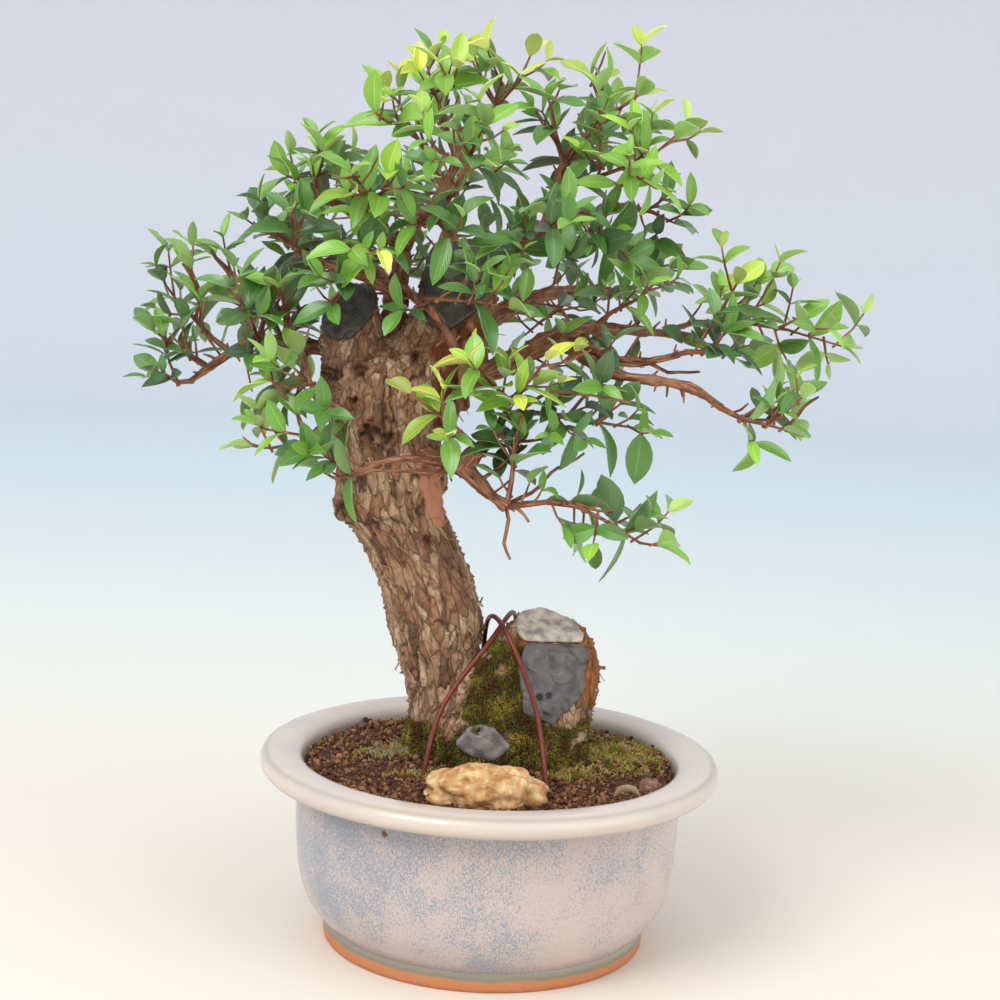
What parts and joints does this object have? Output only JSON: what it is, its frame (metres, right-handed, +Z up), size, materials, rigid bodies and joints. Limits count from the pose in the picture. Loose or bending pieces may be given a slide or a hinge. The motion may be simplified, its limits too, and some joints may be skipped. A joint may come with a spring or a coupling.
{
  "type": "potted bonsai tree",
  "caption": "Common myrtle bonsai with a leaning bark-covered trunk, a sawn stump and leafy sprays, in a round glazed pot with soil and a rock.",
  "frame": {"origin": "under the middle of the pot's foot, on the surface that the pot stands on", "axes": "+Z up; -Y towards the tree's front, which faces the viewer; +X to the right as seen from the front"},
  "size_m": [0.3587, 0.23, 0.4486],
  "materials": {
    "glaze": "glossy cream and lilac glaze with blue speckles, unglazed terracotta foot",
    "soil": "dark granular soil with moss",
    "plastic": "plastic drain mesh",
    "bark": "rough flaking tan bark",
    "paste": "grey wound paste with a soft sheen",
    "wire": "copper-brown anodised wire",
    "stone": "knobbly ochre rock",
    "old_leaf": "glossy dark evergreen leaves on red-brown twigs",
    "grown_leaf": "glossy mid-green leaves on red-brown twigs",
    "new_leaf": "fresh pale green leaves on red-brown twigs"
  },
  "bodies": {
    "root": {"pot": "glaze", "drain_mesh_left": "plastic", "drain_mesh_right": "plastic", "soil": "soil", "rock": "stone", "trunk": "bark", "seal_knob": "paste", "seal_left_stub": "paste", "seal_right_stub": "paste", "seal_stump_front": "paste", "seal_stump_top": "paste", "wire_left": "wire", "wire_right": "wire", "spray_left_tip": "old_leaf", "spray_left_end": "old_leaf", "spray_left_rise": "grown_leaf", "spray_left_high": "grown_leaf", "spray_left_fore": "old_leaf", "spray_left_inner": "grown_leaf", "spray_left_rear": "old_leaf", "spray_left_under": "grown_leaf", "spray_side_up": "new_leaf", "spray_side_out": "grown_leaf", "spray_low_left_tip": "grown_leaf", "spray_upper_left_tip": "grown_leaf", "spray_upper_left_low": "old_leaf", "spray_upper_left_rear": "old_leaf", "spray_crown_left_top": "new_leaf", "spray_crown_left_fore": "grown_leaf", "spray_crown_left_rear": "grown_leaf", "spray_top_left": "new_leaf", "spray_top_peak": "new_leaf", "spray_top_rear": "grown_leaf", "spray_crown_tip": "new_leaf", "spray_front_top": "grown_leaf", "spray_front_low": "grown_leaf", "spray_front_left": "grown_leaf", "spray_front_line": "grown_leaf", "spray_front_right": "old_leaf", "spray_mid_top": "grown_leaf", "spray_top_right": "new_leaf", "spray_right_top": "new_leaf", "spray_right_rear": "grown_leaf", "spray_right_high": "old_leaf", "spray_right_inner": "old_leaf", "spray_right_rise": "grown_leaf", "spray_right_cluster": "new_leaf", "spray_right_tip": "grown_leaf", "spray_right_third_tip": "old_leaf", "spray_right_low_tip": "grown_leaf", "spray_centre_up": "new_leaf", "spray_centre_right": "old_leaf", "spray_centre_drop": "old_leaf", "spray_low_tip": "grown_leaf", "spray_trunk_front": "new_leaf", "spray_rear": "grown_leaf", "spray_rear_left": "grown_leaf", "spray_rear_right": "grown_leaf", "spray_rear_low": "grown_leaf", "spray_rear_top": "grown_leaf"}
  },
  "joints": []
}
